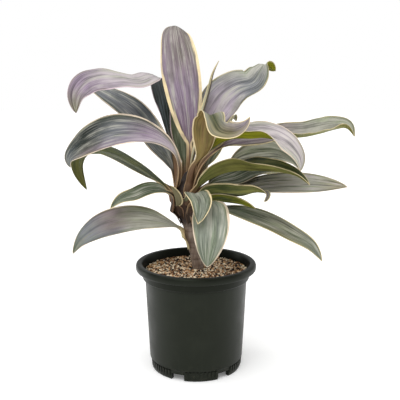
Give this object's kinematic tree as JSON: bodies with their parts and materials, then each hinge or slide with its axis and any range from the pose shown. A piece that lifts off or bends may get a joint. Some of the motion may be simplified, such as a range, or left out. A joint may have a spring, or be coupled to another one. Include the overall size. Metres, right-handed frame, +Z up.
{
  "type": "potted ti plant",
  "caption": "Ti plant with arching, folded and hanging purple and grey-green leaves round one cane, in a round nursery pot with a rolled rim, feet and drain slots.",
  "frame": {"origin": "centre of the pot's base on the surface that it stands on, which the whole plant's box is centred over", "axes": "+Z up; +X to the right and +Y away, as seen from the pictured side"},
  "size_m": [0.3848, 0.2551, 0.465],
  "materials": {
    "pot": "moulded black plastic, satin, with faint turned marks",
    "potting_mix": "rough tan and brown bark chips with dark gaps",
    "cane": "rough grey-brown bark with ringed leaf scars",
    "leaf_young": "lilac-purple and silver-green streaks with cream margins, soft sheen",
    "leaf_old": "grey-green with fine pale streaks and cream-yellow margins, soft sheen"
  },
  "bodies": {
    "root": {"pot": "pot", "potting_mix": "potting_mix", "cane": "cane", "leaf_upright": "leaf_young", "leaf_folded": "leaf_young", "leaf_left_back": "leaf_young", "leaf_left_big": "leaf_young", "leaf_hanging_left": "leaf_old", "leaf_small_left": "leaf_old", "leaf_low_left": "leaf_old", "leaf_front_small": "leaf_old", "leaf_front_hanging": "leaf_old", "leaf_bract": "leaf_old", "leaf_spear": "leaf_young", "leaf_upper_right": "leaf_young", "leaf_front_curled": "leaf_young", "leaf_right_arch": "leaf_young", "leaf_right_long": "leaf_young", "leaf_right_channel": "leaf_old", "leaf_back_right": "leaf_old", "leaf_back_right_far": "leaf_old", "leaf_right_dark": "leaf_old", "leaf_right_low": "leaf_old", "leaf_right_small": "leaf_old", "leaf_right_under": "leaf_old", "leaf_right_lowest": "leaf_old", "leaf_crown_back": "leaf_old", "leaf_hook": "leaf_old", "leaf_back_low": "leaf_old", "leaf_back_left": "leaf_old", "leaf_back_side": "leaf_old"}
  },
  "joints": []
}
